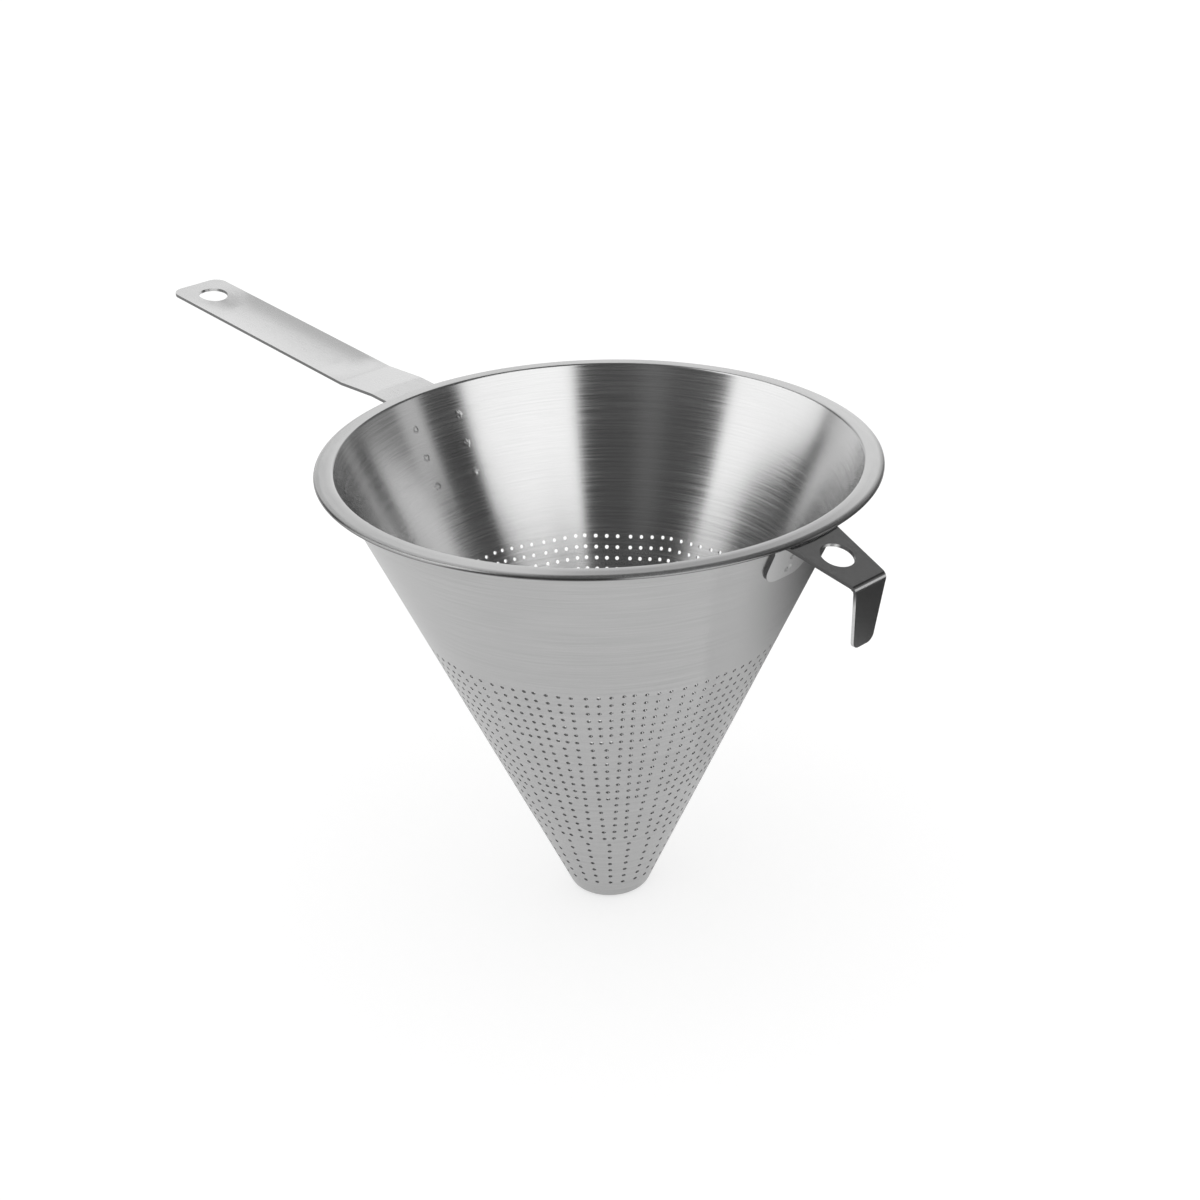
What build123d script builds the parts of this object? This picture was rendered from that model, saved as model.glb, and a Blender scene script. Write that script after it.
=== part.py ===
from build123d import *
import os
from math import cos, degrees, radians, sin, tan

# Conical strainer of stainless steel sheet, carried on a pot by a strap handle and a pan hook.
# Millimetres and degrees. Z is the axis of the cone and points out of its mouth. The origin is
# the centre of the flat tip. The handle runs along -X and the pan hook along +X.

# Cone, pressed in one piece from sheet, with a turned-out lip
rim_diameter = 200.0
strainer_height = 177.0
wall_angle = 24.3
cone_sheet = 0.8
tip_corner_radius = 5.0
lip_reach = 6.3
lip_bend_radius = 1.0
lip_flat = 1.2
lip_drop = 0.35
lip_edge_radius = 0.2
lip_edge_depth = 0.7

# Holes, punched through the wall in sectors of two wedges, in straight rows. The real ones are
# round. Here each has eight sides, which keeps the wall's mesh light.
hole_diameter = 1.5
hole_sides = 8
first_row_below_lip = 67.0
row_pitch = 4.28
sectors = 12
first_sector_angle = 8.0
wedge_angle = 7.85
wedge_top_width = 13.0
wedge_point_from_apex = 44.0
rows_per_zone = (7, 8, 6, 7)
columns_per_zone = (4, 3, 2, 1)
flat_edges_per_zone = ((-3.75, 0, 3.75), (-2.6, 2.6), (0,), (-3.5, 3.5))

# Straps: the handle and the pan hook are pressed from this sheet
strap_sheet = 1.2
strap_bend_radius = 1.5
foot_gap = 0.03

# Handle, from its foot on the wall out to its end
handle_width = 24.4
handle_foot_width = 29.0
handle_foot_length = 37.0
handle_foot_corner = 7.0
handle_shoulder_below = 8.0
handle_shoulder_length = 3.0
handle_under_lip = 2.1
handle_neck_angle = 5.9
handle_neck_length = 19.6
handle_land_length = 18.0
handle_land_radius = 12.0
handle_rise_angle = 6.5
handle_rise_length = 113.0
handle_corner_radius = 5.0
handle_hole_diameter = 12.0
handle_hole_from_end = 13.0
gutter_depth = 1.6
gutter_start = 1.0
gutter_run_in = 16.0
gutter_run_out = 22.0
gutter_end_from_end = 9.0
gutter_station_shares = (0, 1 / 3, 2 / 3, 1)

# Pan hook, from its foot on the wall out to the tip of its finger
hook_width = 24.4
hook_bend_width = 15.4
hook_foot_width = 21.0
hook_foot_length = 20.3
hook_foot_corner = 6.5
hook_shoulder_below = 0.6
hook_shoulder_length = 5.0
hook_under_lip = 0.8
hook_land_length = 4.8
hook_drop_angle = 18.2
hook_arm_length = 26.2
hook_finger_length = 23.9
hook_finger_angle = 7.1
hook_finger_top_width = 14.6
hook_finger_end_width = 9.6
hook_finger_corner = 3.0
hook_hole_diameter = 11.8
hook_hole_from_bend = 15.0

# Spot welds that hold the feet of the straps on the wall
weld_diameter = 4.0
weld_into_cone = 0.3
weld_into_strap = 0.6
weld_dent_depth = 0.1
weld_dent_diameter = 3.4
handle_weld_spacing = 20.6
handle_weld_rows = 3
handle_weld_pitch = 11.5
handle_first_weld = 8.0
hook_weld_rows = 2
hook_weld_pitch = 5.8
hook_first_weld = 9.6

# Overrun of a cut or a blank past the surface that it has to reach
overrun = 2.0

# Sizes of the wall that follow from those above
wall_slope = tan(radians(wall_angle))
wall_sine = sin(radians(wall_angle))
wall_cosine = cos(radians(wall_angle))
rim_radius = rim_diameter / 2
lip_under = strainer_height - cone_sheet
mouth_radius = rim_radius - lip_reach
tip_radius = mouth_radius - lip_under * wall_slope
apex_drop = tip_radius / wall_slope
first_row_slant = (lip_under + apex_drop) / wall_cosine - first_row_below_lip
columns_spread = wedge_top_width / (first_row_slant - wedge_point_from_apex)


def direction(angle):
    """Unit vector away from the axis at an angle about Z."""
    return Vector(cos(radians(angle)), sin(radians(angle)), 0)


def wall_plane(angle, height, facing=None):
    """Plane on the outside of the wall, with X down the wall and Z square to it."""
    away = direction(angle if facing is None else facing)
    up = Vector(0, 0, 1)
    origin = direction(angle) * (tip_radius + height * wall_slope) + up * height
    down = -away * wall_sine - up * wall_cosine
    return Plane(origin, x_dir=down, z_dir=away * wall_cosine - up * wall_sine)


def row_slant(along, turn):
    """Distance from the apex of a point of a row that lies along it at the sector's centre. The
    row is straight on the wall laid flat, so on the cone it dips in the middle of the sector."""
    return along / (wall_sine**2 * cos(radians(turn)) + wall_cosine**2)


def zone_height(row):
    """Height halfway between a row and the row above it, at half the row's dip."""
    along = first_row_slant - (row - 1 / 2) * row_pitch
    return (along + row_slant(along, 180 / sectors)) / 2 * wall_cosine - apex_drop


def flats_of(edges):
    """Start and end angles of a zone's flats, from a sector's centre line out to its edge."""
    angles = [0] + [wedge_angle + edge for edge in edges] + [180 / sectors]
    return list(zip(angles, angles[1:]))


def zone_holes(first_row, rows, columns, edges):
    """Planes of the holes of one zone of a sector, each square to the flat that it goes through.
    The outer columns of a wedge run to one point."""
    planes = []
    for row in range(first_row, first_row + rows):
        along = first_row_slant - row * row_pitch
        width = columns_spread * (along - wedge_point_from_apex)
        for column in range(columns):
            across = width * (column - (columns - 1) / 2) / max(columns - 1, 1)
            turn = wedge_angle + degrees(across / (along * wall_sine))
            height = row_slant(along, turn) * wall_cosine - apex_drop
            start, end = [flat for flat in flats_of(edges) if flat[0] <= turn < flat[1]][0]
            for side in (-1, 1):
                planes.append(wall_plane(side * turn, height, side * (start + end) / 2))
    return planes


def weld_planes(angle, top_height, first, rows, pitch, columns):
    """Planes of a foot's spot welds, in rows down the wall below a height. The columns are
    given by their distances round the wall from the foot's centre line."""
    planes = []
    for row in range(rows):
        height = top_height - (first + row * pitch) * wall_cosine
        for across in columns:
            turn = degrees(across / (tip_radius + height * wall_slope))
            planes.append(wall_plane(angle + turn, height))
    return planes


# Where the contact face of a strap leaves the wall and turns outward
def leaving_height(under_lip, slope_angle):
    """Height at which a strap's upper face, under_lip below the lip's underside at the rim and
    rising outward at slope_angle, meets the outside of the wall."""
    slope = tan(radians(slope_angle))
    at_rim = lip_under - under_lip
    return (at_rim - slope * (rim_radius - tip_radius)) / (1 - slope * wall_slope)


handle_top = leaving_height(handle_under_lip, handle_neck_angle)
hook_top = lip_under - hook_under_lip
handle_weld_columns = (-handle_weld_spacing / 2, handle_weld_spacing / 2)
handle_welds = weld_planes(
    180, handle_top, handle_first_weld, handle_weld_rows, handle_weld_pitch, handle_weld_columns
)
hook_welds = weld_planes(0, hook_top, hook_first_weld, hook_weld_rows, hook_weld_pitch, (0,))


def wall_flat(width, low, high):
    """One flat of the wall, that many degrees wide, between two heights. Its edges lie on the
    true cone, where it is mitred to its neighbours, so its middle is a few hundredths inside."""
    share = cos(radians(width / 2))
    thickness = cone_sheet / wall_cosine
    with BuildPart() as flat:
        with BuildSketch(Plane.XZ):
            Polygon(
                ((tip_radius + low * wall_slope) * share, low),
                ((tip_radius + high * wall_slope) * share, high),
                ((tip_radius + high * wall_slope) * share - thickness, high),
                ((tip_radius + low * wall_slope) * share - thickness, low),
                align=None,
            )
        extrude(amount=rim_radius * sin(radians(width / 2)), both=True)
        with BuildSketch():
            Polygon(
                (0, 0),
                (rim_diameter, -rim_diameter * tan(radians(width / 2))),
                (rim_diameter, rim_diameter * tan(radians(width / 2))),
                align=None,
            )
        extrude(amount=strainer_height, mode=Mode.INTERSECT)
    return flat.part


# One sector of the holed wall. Each zone of rows has its own flats, so that a hole lies within one
with BuildPart() as punched_sector:
    first_row = 0
    hole_planes = []
    for rows, columns, edges in zip(rows_per_zone, columns_per_zone, flat_edges_per_zone):
        low, high = zone_height(first_row + rows), zone_height(first_row)
        for start, end in flats_of(edges):
            for side in (-1, 1):
                with Locations(Rotation(0, 0, side * (start + end) / 2)):
                    add(wall_flat(end - start, low, high))
        hole_planes += zone_holes(first_row, rows, columns, edges)
        first_row += rows
    with BuildSketch(*hole_planes):
        RegularPolygon(hole_diameter / 2, hole_sides, major_radius=False)
    extrude(amount=cone_sheet + overrun, both=True, mode=Mode.SUBTRACT)

# Plain wall above the holes, with the lip turned out and its edge turned down
upper_start = zone_height(0) - overrun
with BuildPart() as upper_wall:
    with BuildSketch(Plane.XZ):
        with BuildLine():
            FilletPolyline(
                (tip_radius + upper_start * wall_slope, upper_start),
                (mouth_radius, lip_under),
                (mouth_radius + lip_flat, lip_under),
                (rim_radius - cone_sheet, lip_under - lip_drop),
                (rim_radius - cone_sheet, lip_under - lip_edge_depth),
                radius=[lip_bend_radius, lip_bend_radius, lip_edge_radius],
            )
            offset(amount=cone_sheet, side=Side.LEFT)
        make_face()
    revolve(axis=Axis.Z)
    split(bisect_by=Plane.XY.offset(zone_height(0)), keep=Keep.TOP)

# Plain wall below the holes, with the bend into the flat tip
lower_end = zone_height(sum(rows_per_zone)) + overrun
disc_radius = tip_radius - tip_corner_radius
with BuildPart() as lower_wall:
    with BuildSketch(Plane.XZ):
        with BuildLine():
            FilletPolyline(
                (disc_radius / 2, 0),
                (tip_radius, 0),
                (tip_radius + lower_end * wall_slope, lower_end),
                radius=tip_corner_radius,
            )
            offset(amount=cone_sheet, side=Side.LEFT)
        make_face()
    revolve(axis=Axis.Z)
    Cylinder(disc_radius, cone_sheet, align=(Align.CENTER, Align.CENTER, Align.MIN))
    split(bisect_by=Plane.XY.offset(zone_height(sum(rows_per_zone))), keep=Keep.BOTTOM)

# Shallow dent that the welding electrode leaves, as a cap of a sphere below a round cut
dent_radius = ((weld_dent_diameter / 2) ** 2 + weld_dent_depth**2) / (2 * weld_dent_depth)
with BuildPart() as dent:
    with Locations((0, 0, dent_radius - weld_dent_depth)):
        Sphere(dent_radius)
    Cylinder(weld_dent_diameter / 2, 2 * weld_dent_depth, mode=Mode.INTERSECT)

# Cone: the holed sectors between the plain walls, with pockets and dents of the spot welds
with BuildPart() as cone:
    add(upper_wall.part)
    with PolarLocations(0, sectors, start_angle=first_sector_angle):
        add(punched_sector.part)
    add(lower_wall.part)
    with Locations(*[plane.location for plane in handle_welds + hook_welds]):
        Cylinder(weld_diameter / 2, 2 * weld_into_cone, mode=Mode.SUBTRACT)
    with Locations(*[plane.offset(-cone_sheet).location for plane in handle_welds + hook_welds]):
        with Locations(Rotation(180, 0, 0)):
            add(dent.part, mode=Mode.SUBTRACT)
cone.part.label = "cone"


# Where the parts of the handle lie, measured out from the axis and up from the tip
foot_shift = foot_gap / wall_cosine
handle_top_radius = tip_radius + handle_top * wall_slope + foot_shift
handle_land_start = handle_top_radius + handle_neck_length * cos(radians(handle_neck_angle))
handle_land_top = handle_top + handle_neck_length * sin(radians(handle_neck_angle))
handle_rise_start = handle_land_start + handle_land_length
handle_cut = handle_land_start + handle_land_length / 2
handle_foot_height = handle_foot_length * wall_cosine
gutter_end = handle_rise_length - gutter_end_from_end
handle_rise_direction = Vector(-cos(radians(handle_rise_angle)), 0, sin(radians(handle_rise_angle)))
handle_rise_normal = Vector(sin(radians(handle_rise_angle)), 0, cos(radians(handle_rise_angle)))
handle_rise_origin = Vector(-handle_rise_start, 0, handle_land_top)
toward_handle = Plane((0, 0, 0), x_dir=(-1, 0, 0), z_dir=(0, 1, 0))
rise_top = Plane(handle_rise_origin, x_dir=handle_rise_direction, z_dir=handle_rise_normal)


def across_rise(distance):
    """Plane square across the rising part of the handle, at a distance out from its start."""
    origin = handle_rise_origin + handle_rise_direction * distance
    return Plane(origin, x_dir=(0, -1, 0), z_dir=handle_rise_direction)


def foot_prism(width, foot_width, bottom, shoulder_low, shoulder_high, corner, reach):
    """Prism along X of a foot's outline: rounded at the bottom, and shouldered to the strap."""
    top = 2 * strainer_height
    with BuildPart() as prism:
        with BuildSketch(Plane.YZ):
            Polygon(
                (-foot_width / 2, bottom),
                (foot_width / 2, bottom),
                (foot_width / 2, shoulder_low),
                (width / 2, shoulder_high),
                (width / 2, top),
                (-width / 2, top),
                (-width / 2, shoulder_high),
                (-foot_width / 2, shoulder_low),
                align=None,
            )
            fillet(vertices().group_by(Axis.Y)[0], radius=corner)
        extrude(amount=reach)
    return prism.part


def gutter_section(depth):
    """Section of the strap pressed to a gutter: the flat sheet bent to an arc of that depth."""
    half = handle_width / 2
    with BuildSketch(mode=Mode.PRIVATE) as section:
        with BuildLine():
            if depth > 0:
                ThreePointArc((-half, 0), (0, -depth), (half, 0))
                ThreePointArc((-half, -strap_sheet), (0, -depth - strap_sheet), (half, -strap_sheet))
            else:
                Line((-half, 0), (half, 0))
                Line((-half, -strap_sheet), (half, -strap_sheet))
            Line((-half, 0), (-half, -strap_sheet))
            Line((half, 0), (half, -strap_sheet))
        make_face()
    return section.sketch


# Handle: foot on the wall, bend, neck and flat land as a ring of the wall, cut to its outline
with BuildPart() as handle_foot:
    with BuildSketch(toward_handle):
        with BuildLine():
            FilletPolyline(
                (handle_top_radius - 2 * handle_foot_height * wall_slope, handle_top - 2 * handle_foot_height),
                (handle_top_radius, handle_top),
                (handle_land_start, handle_land_top),
                (handle_rise_start, handle_land_top),
                radius=[strap_bend_radius + strap_sheet, handle_land_radius],
            )
            offset(amount=strap_sheet, side=Side.RIGHT)
        make_face()
    revolve(axis=Axis.Z)
    shoulder = handle_top - handle_shoulder_below
    add(
        foot_prism(
            handle_width,
            handle_foot_width,
            handle_top - handle_foot_height,
            shoulder - handle_shoulder_length,
            shoulder,
            handle_foot_corner,
            -handle_cut,
        ),
        mode=Mode.INTERSECT,
    )

# Gutter: it deepens, runs even and shallows again towards the hole
with BuildPart() as handle_run_in:
    for share in gutter_station_shares:
        depth = gutter_depth * (3 * share**2 - 2 * share**3)
        with BuildSketch(across_rise(gutter_start + gutter_run_in * share)):
            add(gutter_section(depth))
    loft()
with BuildPart() as handle_run_out:
    for share in gutter_station_shares:
        depth = gutter_depth * (1 - (3 * share**2 - 2 * share**3))
        with BuildSketch(across_rise(gutter_end - gutter_run_out * (1 - share))):
            add(gutter_section(depth))
    loft()

# Handle: the foot, the bend up from the land, the gutter and the flat end with its hole
with BuildPart() as handle:
    add(handle_foot.part)
    with BuildSketch(toward_handle):
        with BuildLine():
            FilletPolyline(
                (handle_cut, handle_land_top),
                (handle_rise_start, handle_land_top),
                (
                    handle_rise_start + gutter_start * cos(radians(handle_rise_angle)),
                    handle_land_top + gutter_start * sin(radians(handle_rise_angle)),
                ),
                radius=handle_land_radius,
            )
            offset(amount=strap_sheet, side=Side.RIGHT)
        make_face()
    extrude(amount=handle_width / 2, both=True)
    add(handle_run_in.part)
    with BuildSketch(across_rise(gutter_start + gutter_run_in)):
        add(gutter_section(gutter_depth))
    extrude(amount=gutter_end - gutter_run_out - gutter_start - gutter_run_in)
    add(handle_run_out.part)
    with BuildSketch(rise_top):
        with Locations((gutter_end, 0)):
            Rectangle(gutter_end_from_end, handle_width, align=(Align.MIN, Align.CENTER))
        fillet(vertices().group_by(Axis.X)[-1], radius=handle_corner_radius)
    extrude(amount=-strap_sheet)
    with Locations(rise_top.location):
        with Locations((handle_rise_length - handle_hole_from_end, 0, 0)):
            Cylinder(handle_hole_diameter / 2, 2 * (gutter_depth + strap_sheet + overrun), mode=Mode.SUBTRACT)
    with Locations(*[plane.location for plane in handle_welds]):
        Cylinder(weld_diameter / 2, 2 * weld_into_strap, mode=Mode.SUBTRACT)
    with Locations(*[plane.offset(strap_sheet).location for plane in handle_welds]):
        add(dent.part, mode=Mode.SUBTRACT)
handle.part.label = "handle"

# Where the parts of the pan hook lie
hook_top_radius = tip_radius + hook_top * wall_slope + foot_shift
hook_land_end = hook_top_radius + hook_land_length
hook_cut = hook_land_end - hook_land_length / 3
hook_foot_height = hook_foot_length * wall_cosine
hook_bend = hook_land_end + hook_arm_length * cos(radians(hook_drop_angle))
hook_bend_top = hook_top - hook_arm_length * sin(radians(hook_drop_angle))
hook_finger_end = hook_bend - hook_finger_length * sin(radians(hook_finger_angle))
hook_finger_bottom = hook_bend_top - hook_finger_length * cos(radians(hook_finger_angle))

# Pan hook's foot and flat land as a ring of the wall, cut to its outline
with BuildPart() as hook_foot:
    with BuildSketch(Plane.XZ):
        with BuildLine():
            FilletPolyline(
                (hook_top_radius - 2 * hook_foot_height * wall_slope, hook_top - 2 * hook_foot_height),
                (hook_top_radius, hook_top),
                (hook_land_end, hook_top),
                radius=strap_bend_radius + strap_sheet,
            )
            offset(amount=strap_sheet, side=Side.RIGHT)
        make_face()
    revolve(axis=Axis.Z)
    shoulder = hook_top - hook_shoulder_below
    add(
        foot_prism(
            hook_width,
            hook_foot_width,
            hook_top - hook_foot_height,
            shoulder - hook_shoulder_length,
            shoulder,
            hook_foot_corner,
            hook_cut,
        ),
        mode=Mode.INTERSECT,
    )

# Pan hook's arm, tapered in plan, and its finger, tapered to a rounded end
with BuildPart() as hook_arm:
    with BuildSketch(Plane.XZ):
        with BuildLine():
            FilletPolyline(
                (hook_cut, hook_top),
                (hook_land_end, hook_top),
                (hook_bend, hook_bend_top),
                (hook_finger_end, hook_finger_bottom),
                radius=strap_bend_radius + strap_sheet,
            )
            offset(amount=strap_sheet, side=Side.RIGHT)
        make_face()
    extrude(amount=hook_width / 2, both=True)
    with BuildSketch():
        Polygon(
            (hook_cut, -hook_width / 2),
            (hook_bend, -hook_bend_width / 2),
            (hook_bend + overrun, -hook_bend_width / 2),
            (hook_bend + overrun, hook_bend_width / 2),
            (hook_bend, hook_bend_width / 2),
            (hook_cut, hook_width / 2),
            align=None,
        )
    extrude(amount=2 * strainer_height, mode=Mode.INTERSECT)
    with BuildSketch(Plane.YZ):
        below_bend = hook_bend_top - strap_sheet - strap_bend_radius
        Polygon(
            (-hook_finger_end_width / 2, hook_finger_bottom),
            (hook_finger_end_width / 2, hook_finger_bottom),
            (hook_finger_top_width / 2, below_bend),
            (hook_bend_width / 2, below_bend + strap_bend_radius),
            (hook_width / 2, below_bend + strap_bend_radius),
            (hook_width / 2, 2 * strainer_height),
            (-hook_width / 2, 2 * strainer_height),
            (-hook_width / 2, below_bend + strap_bend_radius),
            (-hook_bend_width / 2, below_bend + strap_bend_radius),
            (-hook_finger_top_width / 2, below_bend),
            align=None,
        )
        fillet(vertices().group_by(Axis.Y)[0], radius=hook_finger_corner)
    extrude(amount=2 * rim_diameter, mode=Mode.INTERSECT)

# Pan hook: foot and arm in one, with its hole square to the arm
with BuildPart() as hook:
    add(hook_foot.part)
    add(hook_arm.part)
    with Locations((hook_bend, 0, hook_bend_top)):
        with Locations(Rotation(0, hook_drop_angle, 0)):
            with Locations((-hook_hole_from_bend, 0, 0)):
                Cylinder(hook_hole_diameter / 2, 2 * (strap_sheet + overrun), mode=Mode.SUBTRACT)
    with Locations(*[plane.location for plane in hook_welds]):
        Cylinder(weld_diameter / 2, 2 * weld_into_strap, mode=Mode.SUBTRACT)
    with Locations(*[plane.offset(strap_sheet).location for plane in hook_welds]):
        add(dent.part, mode=Mode.SUBTRACT)
hook.part.label = "hook"


# Spot welds: the nuggets that join wall and strap, each filling its pocket in both sheets
def weld_nuggets(planes):
    """Discs across the joint between wall and strap, one on each plane."""
    middle = (weld_into_strap - weld_into_cone) / 2
    with BuildPart() as nuggets:
        with Locations(*[plane.offset(middle).location for plane in planes]):
            Cylinder(weld_diameter / 2, weld_into_cone + weld_into_strap)
    return nuggets.part


with BuildPart() as handle_spot_welds:
    add(weld_nuggets(handle_welds))
handle_spot_welds.part.label = "handle_spot_welds"

with BuildPart() as hook_spot_welds:
    add(weld_nuggets(hook_welds))
hook_spot_welds.part.label = "hook_spot_welds"

os.makedirs("parts", exist_ok=True)
export_step(cone.part, "parts/cone.step", write_pcurves=False)
export_step(handle.part, "parts/handle.step")
export_step(hook.part, "parts/hook.step")
export_step(handle_spot_welds.part, "parts/handle_spot_welds.step")
export_step(hook_spot_welds.part, "parts/hook_spot_welds.step")
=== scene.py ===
"""A conical strainer of stainless steel sheet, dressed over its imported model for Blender 4.5.

Lengths are in metres. The origin is the centre of the strainer's flat tip, +Z runs along its axis
out of the mouth, the handle points along -X and the pan hook along +X."""

import bpy
import numpy as np
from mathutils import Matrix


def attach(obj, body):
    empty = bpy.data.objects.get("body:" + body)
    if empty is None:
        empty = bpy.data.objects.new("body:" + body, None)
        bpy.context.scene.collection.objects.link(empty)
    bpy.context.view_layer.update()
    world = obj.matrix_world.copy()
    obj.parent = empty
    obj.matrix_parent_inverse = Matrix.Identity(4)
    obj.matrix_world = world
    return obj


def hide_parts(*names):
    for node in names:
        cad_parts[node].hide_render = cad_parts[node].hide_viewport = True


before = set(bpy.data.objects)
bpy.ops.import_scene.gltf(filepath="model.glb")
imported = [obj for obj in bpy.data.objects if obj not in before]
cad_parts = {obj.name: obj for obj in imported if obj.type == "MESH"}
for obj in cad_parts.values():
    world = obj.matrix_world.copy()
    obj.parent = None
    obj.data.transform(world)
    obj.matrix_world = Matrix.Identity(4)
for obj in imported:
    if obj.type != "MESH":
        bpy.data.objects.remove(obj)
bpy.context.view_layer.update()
mm = 0.001

# Camera: a long lens that looks down on the strainer, from between its front and its pan hook.
# The place, the three turns and the lens were fitted to the photograph's rim, holes and straps.
camera_distance = 702.42 * mm
camera_height = 465.05 * mm
camera_around = 46.0
camera_turns = {"yaw": 0.07, "pitch": 26.17, "roll": -1.639}
lens_pixels, image_pixels = 2153.0, 1200
nearest_seen, farthest_seen = 10 * mm, 100.0


def turned(first, second, degrees):
    """Two unit vectors turned in their plane, the first towards the second by an angle: cosine of
    one plus sine of the other, and cosine of the other less sine of the one."""
    cosine, sine = np.cos(np.radians(degrees)), np.sin(np.radians(degrees))
    return cosine * first + sine * second, cosine * second - sine * first


x_way, y_way, z_way = np.eye(3)
across, along = turned(x_way, y_way, camera_around)
place = camera_height * z_way - camera_distance * along
up, forward = turned(z_way, along, camera_turns["pitch"])
across, forward = turned(across, forward, camera_turns["yaw"])
across, up = turned(across, up, camera_turns["roll"])
lens = bpy.data.cameras.new("camera")
lens.angle = 2 * np.arctan(image_pixels / 2 / lens_pixels)
lens.clip_start, lens.clip_end = nearest_seen, farthest_seen
camera = bpy.data.objects.new("camera", lens)
bpy.context.scene.collection.objects.link(camera)
placing = np.eye(4)
placing[:3, :] = np.stack([across, up, -forward, place], axis=1)
camera.matrix_world = placing.T
bpy.context.scene.camera = camera
bpy.context.scene.view_settings.view_transform = "Standard"

# Cone: one sheet of stainless steel, spun to shape with its lip turned out and down, then punched
# with 1704 round holes in twelve sectors. The spinning leaves fine lines round the wall.
sheet = 0.8 * mm
rim_radius, height = 100 * mm, 177 * mm
wall_angle = np.radians(24.3)
lip_reach, lip_flat, lip_drop, lip_edge = 6.3 * mm, 1.2 * mm, 0.35 * mm, 0.7 * mm
tip_bend, mouth_bend, lip_bend, edge_bend = 5 * mm, 0.3 * mm, 24 * mm, 0.2 * mm
bend_steps = 6
polish_reach, polish_fall = 2.6 * mm, 1.2 * mm
lip_under = height - sheet
mouth_radius = rim_radius - lip_reach
tip_radius = mouth_radius - lip_under * np.tan(wall_angle)
apex_drop = tip_radius / np.tan(wall_angle)
columns_around = 288
hole_radius, hole_sides = 0.75 * mm, 16
sectors, first_sector = 12, 8.0
row_pitch, first_row_below_lip = 4.28 * mm, 67.0 * mm
wedge_angle, wedge_top_width, wedge_point = 7.85, 13 * mm, 44 * mm
zone_rows, zone_columns = (7, 8, 6, 7), (4, 3, 2, 1)
first_row_slant = (lip_under + apex_drop) / np.cos(wall_angle) - first_row_below_lip


def rounded(corners, radii, offset=0.0):
    """Line through (radius, height) corners, each inner corner an arc of its own radius. The line
    is moved to the left of its run by the offset. Returns its points and their left normals."""
    corners = np.array(corners)
    runs = np.diff(corners, axis=0)
    runs /= np.linalg.norm(runs, axis=1)[:, None]
    left = runs[:, ::-1] * [-1, 1]
    points, normals = [corners[:1] + offset * left[:1]], [left[:1]]
    for corner, before, after, side, radius in zip(corners[1:-1], runs, runs[1:], left, radii):
        turn = np.arctan2(before[0] * after[1] - before[1] * after[0], before @ after)
        way = np.sign(turn)
        centre = corner - before * radius * np.tan(abs(turn) / 2) + way * radius * side
        angles = turn * np.linspace(0, 1, bend_steps + 1)[:, None]
        arc = side * np.cos(angles) - before * np.sin(angles)
        points.append(centre - way * radius * arc + offset * arc)
        normals.append(arc)
    points.append(corners[-1:] + offset * left[-1:])
    normals.append(left[-1:])
    return np.concatenate(points), np.concatenate(normals)


def row_slant(along, turn):
    """Distance from the cone's apex of a row at a turn from its sector's centre: the row is a
    straight line on the wall laid flat, which lies higher on the cone at the sector's edges."""
    return along / (np.sin(wall_angle) ** 2 * np.cos(turn) + np.cos(wall_angle) ** 2)


def wall_points(turn, slant, depth):
    """Points of the wall by angle, distance from the cone's apex, and depth below its outside."""
    reach = slant * np.sin(wall_angle) - depth * np.cos(wall_angle)
    rise = slant * np.cos(wall_angle) - apex_drop + depth * np.sin(wall_angle)
    return np.stack([reach * np.cos(turn), reach * np.sin(turn), rise], axis=-1)


def revolved(pairs):
    """Rings of points or normals: (across, up) pairs turned round Z to each column of the grid."""
    flat = pairs[:, None, :1] * np.stack([np.cos(turns), np.sin(turns)], axis=1)
    return np.concatenate([flat, np.broadcast_to(pairs[:, None, 1:], (*flat.shape[:2], 1))], axis=2)


def halved(a, b, c, d):
    """Two triangles for each four-sided face a b c d: one on each side of the line from a to c."""
    return np.stack([a, b, c, a, c, d], axis=-1).reshape(-1, 3)


def zip_loops(outline):
    """Triangles between an outline, given as points (across, up), and a ring of hole_sides points
    inside it that starts towards the outline's first point. Both run clockwise: the edges of both
    are sorted by the direction of their middles, and each takes the other loop's current point."""
    direction = np.arctan2(outline[:, 1], outline[:, 0])
    outer = np.append(np.mod(direction[0] - direction, 2 * np.pi), 2 * np.pi)
    inner = np.linspace(0, 2 * np.pi, hole_sides + 1)
    middles = np.concatenate([outer[1:] + outer[:-1], inner[1:] + inner[:-1]])
    on_outline = np.argsort(middles) < len(outline)
    i = np.cumsum(on_outline) - on_outline
    k = np.cumsum(~on_outline) - ~on_outline
    last = np.where(on_outline, (i + 1) % len(outline), len(outline) + (k + 1) % hole_sides)
    return np.stack([i % len(outline), last, len(outline) + k % hole_sides], axis=1)


# Columns of the grid, from the edge of the first sector, and the rows between the rows of holes
turns = np.radians(first_sector - 180 / sectors + np.arange(columns_around) * 360 / columns_around)
per_sector = columns_around // sectors
local_columns = np.arange(columns_around) % per_sector - per_sector / 2
row_edges = first_row_slant + row_pitch * (0.5 - np.arange(sum(zone_rows) + 1)[::-1])
grid_slants = row_slant(row_edges[:, None], np.radians(local_columns * 360 / columns_around))

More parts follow.
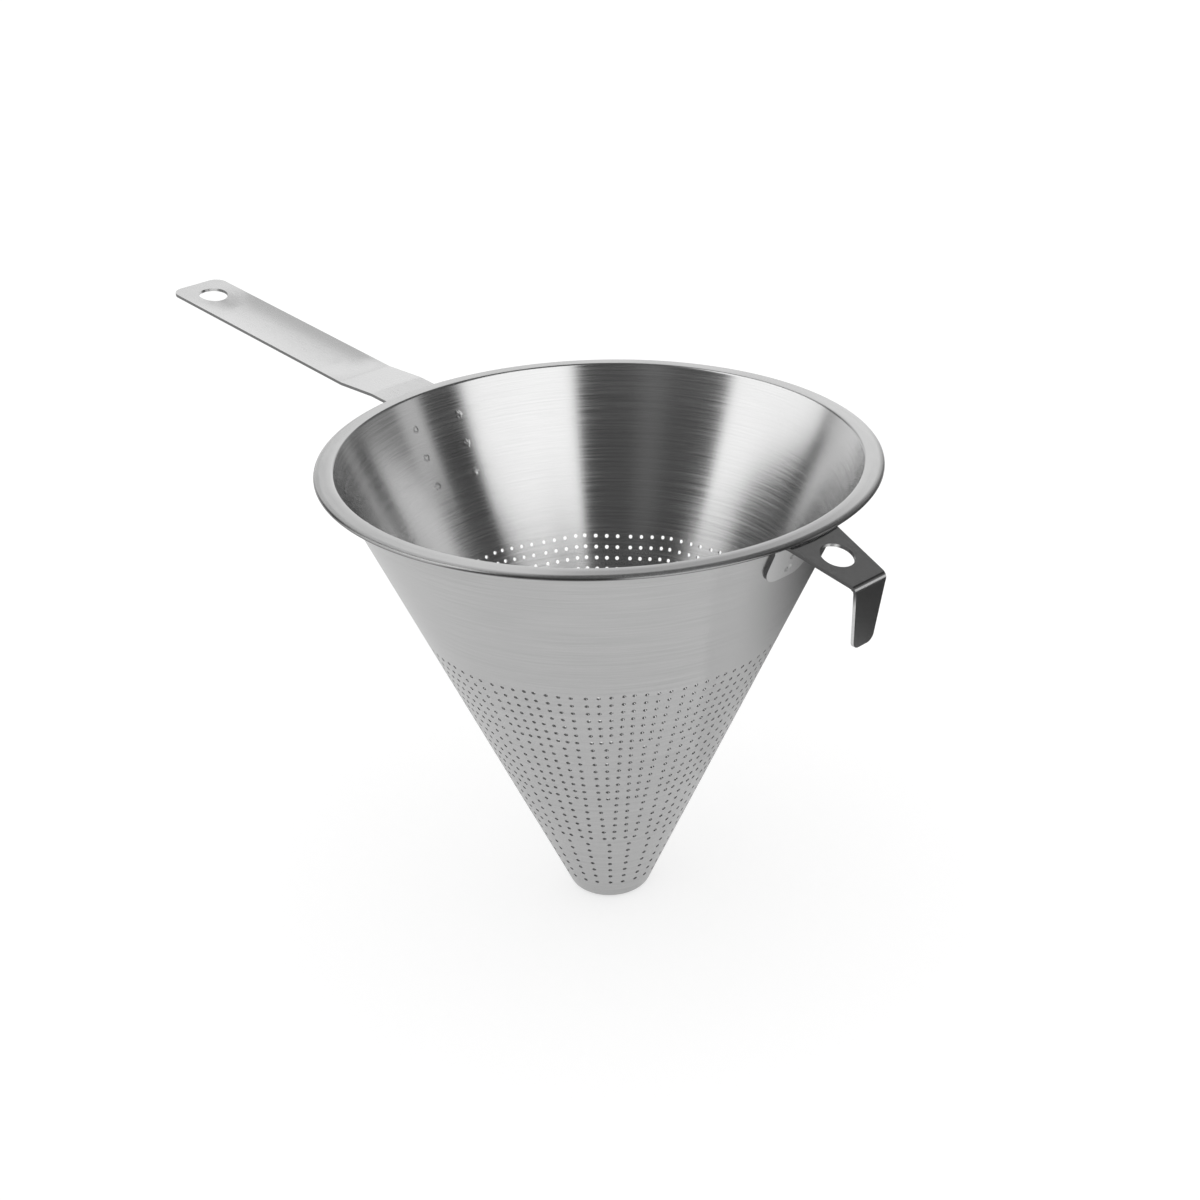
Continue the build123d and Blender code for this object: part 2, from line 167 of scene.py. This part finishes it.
# Holes: their places on the wall, and the grid cell round each with its upper left corner's angle
hole_turns, hole_slants, first_angles, cell_corners, cell_triangles = [], [], [], [], []
wedge_columns = per_sector // 2
first_row = 0
for rows, columns in zip(zone_rows, zone_columns):
    span = wedge_columns // columns
    row, sector, side, column = np.meshgrid(
        np.arange(first_row, first_row + rows),
        np.arange(sectors),
        [0, 1],
        np.arange(columns),
        indexing="ij",
    )
    way = 2 * side - 1
    along = first_row_slant - row * row_pitch
    width = wedge_top_width * (along - wedge_point) / (first_row_slant - wedge_point)
    across = width * (column - (columns - 1) / 2) / max(columns - 1, 1)
    turn = way * (np.radians(wedge_angle) + way * across / (along * np.sin(wall_angle)))
    hole_turns.append((turn + np.radians(first_sector + sector * 360 / sectors)).ravel())
    hole_slants.append(row_slant(along, turn).ravel())
    edge = np.arange(span + 1)
    left_column = (sector * 2 + side) * wedge_columns + column * span
    upper = (left_column.ravel()[:, None] + edge) % columns_around
    lower_row = (sum(zone_rows) - 1 - row).ravel()[:, None]
    above, below = (lower_row + 1) * columns_around, lower_row * columns_around
    cell_corners.append(np.concatenate([above + upper, below + upper[:, ::-1]], axis=1))
    cell_width = 2 * np.pi / columns_around * span * along.mean() * np.sin(wall_angle)
    first_angles.append(np.full(row.size, np.arctan2(row_pitch, -cell_width)))
    top = np.stack([edge / span - 0.5, 0 * edge + 0.5], axis=1)
    cell_triangles.append(zip_loops(np.concatenate([top, -top]) * [cell_width, row_pitch]))
    first_row += rows
hole_turns, hole_slants = np.concatenate(hole_turns), np.concatenate(hole_slants)
first_angles = np.concatenate(first_angles)


def skin(depth, way):
    """One side of the sheet: rings of the profile below and above the holed wall, with the grid
    and its holes between. Returns its points, its triangles, a normal for each point and the
    first point of the holes."""
    line, left = rounded(
        [
            (0, 0),
            (tip_radius, 0),
            (mouth_radius, lip_under),
            (mouth_radius + lip_flat, lip_under),
            (rim_radius - sheet, lip_under - lip_drop),
            (rim_radius - sheet, lip_under - lip_edge),
        ],
        [tip_bend, mouth_bend, lip_bend, edge_bend],
        depth,
    )
    if way > 0:
        # the lip's edge is polished round: an ellipse that starts along the lip's slope
        fall = lip_drop / (rim_radius - sheet - mouth_radius - lip_flat)
        angle = np.linspace(np.arctan(fall * polish_reach / polish_fall), np.pi / 2, bend_steps + 1)
        oval = np.stack([polish_reach * np.sin(angle), polish_fall * np.cos(angle)], axis=1)
        start = rim_radius - polish_reach + oval[0, 0]
        lip_height = height - fall * (start - mouth_radius - lip_flat)
        line[-2 - bend_steps : -1] = oval + [rim_radius - polish_reach, lip_height - oval[0, 1]]
        facing_out = oval / [polish_reach**2, polish_fall**2]
        left[-2 - bend_steps : -1] = facing_out / np.linalg.norm(facing_out, axis=1)[:, None]
    rings, facing = revolved(line[1:]), revolved(left[1:])
    below = bend_steps + 1
    grid = wall_points(turns, grid_slants, depth)
    grid_facing = np.broadcast_to(facing[below - 1], grid.shape)
    points = np.concatenate([rings[:below], grid, rings[below:]]).reshape(-1, 3)
    normals = np.concatenate([facing[:below], grid_facing, facing[below:]]).reshape(-1, 3)

    # strips between neighbouring rings, but for the holed rows
    last_row = len(rings) + len(grid) - 1
    row = np.concatenate([np.arange(below), np.arange(below + len(grid) - 1, last_row)])[:, None]
    here = np.arange(columns_around)
    after = (here + 1) % columns_around
    a, b = row * columns_around + here, row * columns_around + after
    strips = halved(a, b, b + columns_around, a + columns_around)

    # the pole of the tip
    pole = len(points)
    points = np.concatenate([points, [[0, 0, line[0, 1]]]])
    normals = np.concatenate([normals, [[0, 0, left[0, 1]]]])
    fan = np.stack([here, after, np.full(columns_around, pole)], axis=-1)

    # a ring of points for each hole, clockwise from the cell's upper left corner
    first_hole_point = len(points)
    angle = first_angles[:, None] - np.arange(hole_sides) * 2 * np.pi / hole_sides
    hole_reach = (hole_slants * np.sin(wall_angle))[:, None]
    ring_turns = hole_turns[:, None] + hole_radius * np.cos(angle) / hole_reach
    ring_slants = hole_slants[:, None] + hole_radius * np.sin(angle)
    points = np.concatenate([points, wall_points(ring_turns, ring_slants, depth).reshape(-1, 3)])
    out, rise = left[below]
    ring_normals = [out * np.cos(ring_turns), out * np.sin(ring_turns), 0 * ring_turns + rise]
    normals = np.concatenate([normals, np.stack(ring_normals, axis=-1).reshape(-1, 3)])
    holed, hole = [], 0
    for corners, triangles in zip(cell_corners, cell_triangles):
        first_points = first_hole_point + (hole + np.arange(len(corners)))[:, None] * hole_sides
        own = first_points + np.arange(hole_sides)
        loop = np.concatenate([corners + below * columns_around, own], axis=1)
        holed.append(loop[:, triangles].reshape(-1, 3))
        hole += len(corners)
    return points, np.concatenate([strips, fan, *holed]), way * normals, first_hole_point


outside, outside_faces, outside_normals, first_hole_point = skin(0, -1)
inside, inside_faces, inside_normals, _ = skin(sheet, 1)
inside_start = len(outside)
points = np.concatenate([outside, inside])

# Walls of the holes, and the edge of the lip, between the two skins
first_points = first_hole_point + np.arange(len(hole_turns))[:, None] * hole_sides
a = first_points + np.arange(hole_sides)
b = first_points + (np.arange(hole_sides) + 1) % hole_sides
walls = halved(a, b, b + inside_start, a + inside_start)
centres = np.repeat(wall_points(hole_turns, hole_slants, sheet / 2), hole_sides, axis=0)
hole_axis = outside_normals[first_hole_point:]
to_centre = np.zeros_like(points)
for start in (first_hole_point, inside_start + first_hole_point):
    inward = centres - points[start : start + len(centres)]
    inward -= (inward * hole_axis).sum(1)[:, None] * hole_axis
    to_centre[start : start + len(centres)] = inward / np.linalg.norm(inward, axis=1)[:, None]
last_ring = first_hole_point - 1 - columns_around
here = last_ring + np.arange(columns_around)
after = last_ring + (np.arange(columns_around) + 1) % columns_around
edge = halved(here, after, after + inside_start, here + inside_start)
faces = np.concatenate([outside_faces, inside_faces + inside_start, walls, edge])
corner_normals = np.concatenate(
    [
        outside_normals[outside_faces],
        inside_normals[inside_faces],
        to_centre[walls],
        np.broadcast_to([0, 0, -1.0], (*edge.shape, 3)),
    ]
)

# A triangle that runs against its normals is turned over, so that every face points outwards
sides = points[faces[:, 1:]] - points[faces[:, :1]]
wrong = (np.cross(sides[:, 0], sides[:, 1]) * corner_normals.mean(1)).sum(1) < 0
faces[wrong] = faces[wrong][:, ::-1]
corner_normals[wrong] = corner_normals[wrong][:, ::-1]
mesh = bpy.data.meshes.new("cone_sheet")
mesh.from_pydata(points.tolist(), [], faces.tolist())
mesh.shade_smooth()
mesh.normals_split_custom_set(corner_normals.reshape(-1, 3).tolist())
cone = bpy.data.objects.new("cone_sheet", mesh)
bpy.context.scene.collection.objects.link(cone)
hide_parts("cone")
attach(cone, "root")


class Socket:
    """A node's output, which Python's operators join to others and to numbers by Math nodes."""

    def __init__(self, material, output):
        self.material, self.output = material, output

    def math(self, operation, *values):
        """A Math node of this operation, which takes the values in turn."""
        return self.material.node("Math", {"operation": operation}, dict(enumerate(values)))

    def __add__(self, other):
        return self.math("ADD", self, other)

    def __radd__(self, other):
        return self.math("ADD", other, self)

    def __sub__(self, other):
        return self.math("SUBTRACT", self, other)

    def __rsub__(self, other):
        return self.math("SUBTRACT", other, self)

    def __mul__(self, other):
        return self.math("MULTIPLY", self, other)

    def __rmul__(self, other):
        return self.math("MULTIPLY", other, self)


class Material:
    """A procedural material or world, whose nodes are added by type, by settings and by values."""

    def __init__(self, data, shader="Principled BSDF", coordinates="Object"):
        self.data = data
        self.data.use_nodes = True
        self.tree = self.data.node_tree
        self.shader = self.tree.nodes[shader]
        self.point = self.node("TexCoord", output=coordinates)

    def node(self, kind, settings=None, sockets=None, output=0):
        """A new shader node: its settings are set first, then its sockets take values or links."""
        made = self.tree.nodes.new("ShaderNode" + kind)
        for setting, value in (settings or {}).items():
            if setting == "stops":
                ramp = made.color_ramp
                ramp.interpolation = "EASE"
                while len(ramp.elements) < len(value):
                    ramp.elements.new(0)
                for stop, (at, shade) in zip(ramp.elements, value):
                    stop.position, stop.color = at, (shade, shade, shade, 1)
            else:
                setattr(made, setting, value)
        for socket, value in (sockets or {}).items():
            self.set(made.inputs[socket], value)
        return Socket(self, made.outputs[output])

    def set(self, socket, value):
        """Links a Socket to a node's input, or sets the input to a plain value."""
        if isinstance(value, Socket):
            self.tree.links.new(value.output, socket)
        else:
            socket.default_value = value

    def step(self, value, start, end, first=0.0, last=1.0):
        """A smooth change from first to last while the value runs from start to end."""
        smooth = {"interpolation_type": "SMOOTHSTEP"}
        return self.node("MapRange", smooth, {0: value, 1: start, 2: end, 3: first, 4: last})

    def dimmed(self, grey, tone):
        """A grey that a tone from 0 to 1 brings down to black."""
        whole = (grey, grey, grey, 1)
        return self.node("Mix", {"data_type": "RGBA"}, {0: tone, 6: (0, 0, 0, 1), 7: whole}, 2)

    def finish(self, **sockets):
        """Sets or links the main shader's sockets, named with _ for a blank."""
        for name, value in sockets.items():
            self.set(self.shader.inputs[name.replace("_", " ")], value)
        return self.data


# Steel of all the pieces: brushed lines, over which the gloss changes too, and wide soft blotches
line_detail, line_roughness = 4.0, 0.7
line_lowest, line_highest = 0.3, 0.7
line_gloss = 0.24
blotch_scale, blotch_tone = 22.0, 0.1
soft_detail = 2.0


def brushed(name, roughness, lines, streak, relief):
    """Stainless steel with fine lines: noise stretched along them changes how rough and how dark
    the surface is. lines is the noise's scale along X, Y and Z, relief its height in metres.
    Returns the material, its tone from 0 to 1, its roughness and its relief."""
    steel = Material(bpy.data.materials.new(name))
    stretched = steel.node("Mapping", {"vector_type": "POINT"}, {"Vector": steel.point, "Scale": lines})
    fine = steel.node(
        "TexNoise",
        None,
        {"Vector": stretched, "Scale": 1.0, "Detail": line_detail, "Roughness": line_roughness},
    )
    scratches = steel.node("MapRange", None, {0: fine, 1: line_lowest, 2: line_highest, 3: -1.0, 4: 1.0})
    blotches = steel.node(
        "TexNoise", None, {"Vector": steel.point, "Scale": blotch_scale, "Detail": soft_detail}
    )
    tone = 1 - streak / 2 + scratches * (streak / 2) + (blotches - 0.5) * blotch_tone
    return steel, tone, roughness + roughness * line_gloss * scratches, scratches * relief


def dressed(steel, grey, tone, roughness, relief, **sockets):
    """Finishes a steel with its grey darkened by the tone and its relief as a bump."""
    shade = steel.dimmed(grey, tone)
    bump = steel.node("Bump", None, {"Strength": 1.0, "Distance": 1.0, "Height": relief})
    return steel.finish(Base_Color=shade, Metallic=1.0, Roughness=roughness, Normal=bump, **sockets)


# Spot weld marks inside the cone, opposite the two feet: the welding electrode leaves shallow
# uneven pits with a scorched rim. Painted shade darkens the lip's outer edge below the tone of its top.
handle_dents_apart, handle_dents_reach = 20.6 * mm, 85 * mm
handle_dent_rows, handle_dent_top, handle_dent_pitch = 3, 166.0 * mm, 11.5 * mm
hook_dent_rows, hook_dent_top, hook_dent_pitch = 2, 166.6 * mm, 5.8 * mm
dent_radius, dent_floor_radius, dent_depth = 1.8 * mm, 0.36 * mm, 0.05 * mm
dent_unevenness, dent_noise_scale = 2.2 * mm, 900.0
rim_shade_width, rim_shade_end, rim_shade_tone = 0.7 * mm, 0.15 * mm, 0.4
cone_grey, cone_gloss_ratio, cone_gloss_turn = 0.66, 0.85, 0.25


def mark_slants(rows, top, pitch):
    """Distances from the cone's apex of a column of marks: the first at a height, each of the
    others a pitch further down the wall."""
    return (top + apex_drop) / np.cos(wall_angle) - np.arange(rows) * pitch


handle_turns = np.pi + np.array([-1, 1]) * np.arctan2(handle_dents_apart / 2, handle_dents_reach)
handle_slants = mark_slants(handle_dent_rows, handle_dent_top, handle_dent_pitch)
hook_slants = mark_slants(hook_dent_rows, hook_dent_top, hook_dent_pitch)
handle_dents = wall_points(*np.meshgrid(handle_turns, handle_slants), sheet).reshape(-1, 3)
hook_dents = wall_points(0 * hook_slants, hook_slants, sheet)
steel, tone, roughness, relief = brushed(
    "spun_steel", roughness=0.22, lines=(25, 25, 1600), streak=0.16, relief=0.00006 * mm
)
uneven = steel.node(
    "TexNoise", None, {"Vector": steel.point, "Scale": dent_noise_scale, "Detail": soft_detail}
)
nearest = None
for dent in (*handle_dents, *hook_dents):
    distance = steel.node("VectorMath", {"operation": "DISTANCE"}, {0: steel.point, 1: dent}, 1)
    nearest = distance if nearest is None else nearest.math("MINIMUM", nearest, distance)
nearest = nearest + (uneven - 0.5) * dent_unevenness
pit = steel.step(nearest, dent_floor_radius, dent_radius, 1.0, 0.0)
level_point = steel.node("VectorMath", {"operation": "MULTIPLY"}, {0: steel.point, 1: (1, 1, 0)})
reach = steel.node("VectorMath", {"operation": "LENGTH"}, {0: level_point}, 1)
# painted shade: the lip darkens towards its outer edge, standing in for the dark reflection there
painted_rim_shade = steel.step(reach, rim_radius - rim_shade_width, rim_radius - rim_shade_end, 1.0, rim_shade_tone)
tone = tone * painted_rim_shade * (1 - pit * (1 - pit))
relief = relief - pit * dent_depth + pit * (uneven - 0.5) * dent_depth
spun_steel = dressed(
    steel,
    cone_grey,
    tone,
    roughness,
    relief,
    Anisotropic=cone_gloss_ratio,
    Anisotropic_Rotation=cone_gloss_turn,
)
cone.data.materials.append(spun_steel)

# Handle: one strap of stainless steel, bent out from its foot under the lip and pressed to a
# shallow gutter. Its foot is spot welded to the wall, and a round hole near its end hangs it up.
strap_lines, strap_relief = (60, 1600, 1600), 0.00015 * mm
side_starts, side_whole = 0.5, 0.8
edge_fade = 3 * mm
handle_grey, handle_edge_shade, handle_edges_end = 0.75, 0.3, 0 * mm


def shaded_cut_edges(steel, dark, ends):
    """Tone of a strap with painted shade on its long cut edges, which face along Y: they are darkened
    where X - Z is below the value at which they end."""
    normal = steel.node("NewGeometry", output="Normal")
    facing_side = steel.node("SeparateXYZ", None, {0: normal}, 1)
    sideways = steel.step(facing_side * facing_side, side_starts, side_whole)
    out = steel.node("VectorMath", {"operation": "DOT_PRODUCT"}, {0: steel.point, 1: (1, 0, -1)}, 1)
    inside = steel.step(out, ends - edge_fade, ends + edge_fade, 1.0, 0.0)
    return 1 - sideways * inside * (1 - dark)


def wear(name, material):
    """Gives a CAD node its finished material in place of the plain one."""
    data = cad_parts[name].data
    data.materials.clear()
    data.materials.append(material)


steel, tone, roughness, relief = brushed(
    "handle_steel", roughness=0.24, lines=strap_lines, streak=0.06, relief=strap_relief
)
# painted shade on the handle's cut edges, all along the strap
tone = tone * shaded_cut_edges(steel, handle_edge_shade, handle_edges_end)
wear("handle", dressed(steel, handle_grey, tone, roughness, relief))

# Pan hook: a short strap of the same steel, spot welded opposite the handle, with a round hole in
# its arm and a finger bent down to hook over a pot's rim. Painted shade darkens its bend.
hook_grey, hook_edge_shade, hook_edges_end = 0.78, 0.15, -40 * mm
bend_starts, bend_whole = 0.5, 0.6
bend_fades, bend_ends = 0.82, 0.88
above_starts, above_whole = 0.1, 0.2
bend_shade = 0.75
steel, tone, roughness, relief = brushed(
    "hook_steel", roughness=0.2, lines=strap_lines, streak=0.08, relief=strap_relief
)
normal = steel.node("NewGeometry", output="Normal")
facing_out, facing_up = [steel.node("SeparateXYZ", None, {0: normal}, axis) for axis in (0, 2)]
begun = steel.step(facing_out, bend_starts, bend_whole)
ended = steel.step(facing_out, bend_fades, bend_ends)
# painted shade: the bend between arm and finger is darkened by its normal, all but its lower part
painted_bend_shade = 1 - begun * (1 - ended) * steel.step(facing_up, above_starts, above_whole) * bend_shade
# painted shade on the hook's cut edges, on its arm and foot but not on its finger
tone = tone * shaded_cut_edges(steel, hook_edge_shade, hook_edges_end) * painted_bend_shade
wear("hook", dressed(steel, hook_grey, tone, roughness, relief))

# Spot welds: the nuggets melted between the wall and the two feet, six at the handle and two at
# the pan hook. Both sheets close them in, so their steel is plain and dull.
weld_grey = 0.45
steel, tone, roughness, relief = brushed(
    "weld_steel", roughness=0.5, lines=(900, 900, 900), streak=0.2, relief=0.002 * mm
)
weld_steel = dressed(steel, weld_grey, tone, roughness, relief)
for name in ("handle_spot_welds", "hook_spot_welds"):
    wear(name, weld_steel)

# Floor: a wide pale table, made a little brighter than its paint for the camera and for the
# metal. It keeps the strainer's shadow.
floor_half = 20.0
floor_paint, camera_glow, metal_glow = 0.5, 0.6, 0.33


def laid(name, corners):
    """A flat sheet with four corners."""
    mesh = bpy.data.meshes.new(name)
    mesh.from_pydata([tuple(corner) for corner in corners], [], [(0, 1, 2, 3)])
    made = bpy.data.objects.new(name, mesh)
    bpy.context.scene.collection.objects.link(made)
    return made


floor_corners = [(-1, -1, 0), (1, -1, 0), (1, 1, 0), (-1, 1, 0)]
floor = laid("floor", np.array(floor_corners) * floor_half)
paint = Material(bpy.data.materials.new("floor_paint"))
by_camera, by_gloss, by_glass = [
    paint.node("LightPath", output=f"Is {ray} Ray") for ray in ("Camera", "Glossy", "Transmission")
]
glow = paint.dimmed(1.0, by_camera * camera_glow + (by_gloss + by_glass) * metal_glow)
floor.data.materials.append(
    paint.finish(
        Base_Color=(floor_paint, floor_paint, floor_paint, 1),
        Roughness=1.0,
        Emission_Color=glow,
        Emission_Strength=1.0,
    )
)

# Black card that lies on the floor beyond the pan hook: only the metal sees it. It starts as pale
# as the floor and darkens away from the strainer.
card_around = 72.5
card_corners = np.array([(70, -450), (4000, -4000), (4000, 500), (70, 200)]) * mm
card_lift = 1 * mm
card_pale_until, card_dark_from = 100 * mm, 255 * mm
card_pale, card_dark = 0.85, 0.03
card_away, card_along = turned(x_way, y_way, card_around)
lift = card_lift * z_way
card = laid("card", [away * card_away + side * card_along + lift for away, side in card_corners])
card.visible_camera = card.visible_diffuse = card.visible_shadow = False
felt = Material(bpy.data.materials.new("card_felt"))
away = felt.node("VectorMath", {"operation": "DOT_PRODUCT"}, {0: felt.point, 1: card_away}, 1)
tone = felt.step(away, card_pale_until, card_dark_from, card_pale, card_dark)
card.data.materials.append(felt.finish(Base_Color=felt.dimmed(1.0, tone), Roughness=1.0))

# Studio: a pale room for the camera and for soft light. The metal sees its lamps and its dark
# gaps: bright and dark bands by direction round the strainer, under a dark ceiling.
brightest, ceiling_level, pale = 1.55, 0.12, 0.9
ceiling_raise = 0.38
quarter_turn, whole_turn, turn_start = 90, 360, -180
bands = [
    (-180, 0.08),
    (-167, 0.06),
    (-160, 1.0),
    (-112, 1.0),
    (-106, 0.05),
    (-86, 0.06),
    (-72, 0.11),
    (-58, 0.06),
    (-37, 0.05),
    (-31, 1.0),
    (19, 1.0),
    (25, 0.04),
    (42, 0.05),
    (45.5, 0.5),
    (55, 0.44),
    (60, 0.15),
    (76, 0.15),
    (84, 0.12),
    (104, 0.14),
    (114, 0.4),
    (124, 0.63),
    (143, 0.63),
    (150, 0.42),
    (158, 0.38),
    (168, 0.44),
    (176, 0.12),
]
horizon = [(0, 1.0), (5, 1.0), (9, 0.0), (90, 0.0)]
horizon_shares = [(20, 1.0), (50, 0.1), (110, 0.1), (125, 1.0)]
ceiling = [(0, 0.0), (24, 0.0), (37, 1.0), (90, 1.0)]
raised_shares = [(-160, 1.0), (20, 1.0), (40, 0.0), (120, 0.0), (136, 0.16), (143, 0.5), (154, 1.0)]
studio = Material(bpy.data.worlds.new("studio"), "Background", "Generated")
bpy.context.scene.world = studio.data
x, y, z = [studio.node("SeparateXYZ", None, {0: studio.point}, axis) for axis in range(3)]
round_share = x.math("ARCTAN2", y, x) * (0.5 / np.pi) + 0.5
height_share = z.math("ARCSINE", z) * (2 / np.pi)


def by_angle(share, stops, whole, start=0.0):
    """A value by angle: the stops are angles in degrees and values, over the whole turn or rise."""
    stops = [((angle - start) / whole, value) for angle, value in stops]
    return studio.node("ValToRGB", {"stops": stops}, {0: share})


glow = by_angle(round_share, horizon_shares, whole_turn, turn_start)
low = by_angle(height_share, horizon, quarter_turn) * glow
raised = by_angle(round_share, raised_shares, whole_turn, turn_start) * ceiling_raise
high = by_angle(height_share - raised, ceiling, quarter_turn)
lamps = by_angle(round_share, bands, whole_turn, turn_start) * brightest
lamps = lamps * (1 - low) + low
lamps = lamps * (1 - high) + high * ceiling_level
by_metal = studio.node("LightPath", output="Is Glossy Ray")
by_camera = studio.node("LightPath", output="Is Camera Ray")
level = by_metal * lamps + (1 - by_metal) * (by_camera * (1 - pale) + pale)
studio.finish(Color=(1, 1, 1, 1), Strength=level)
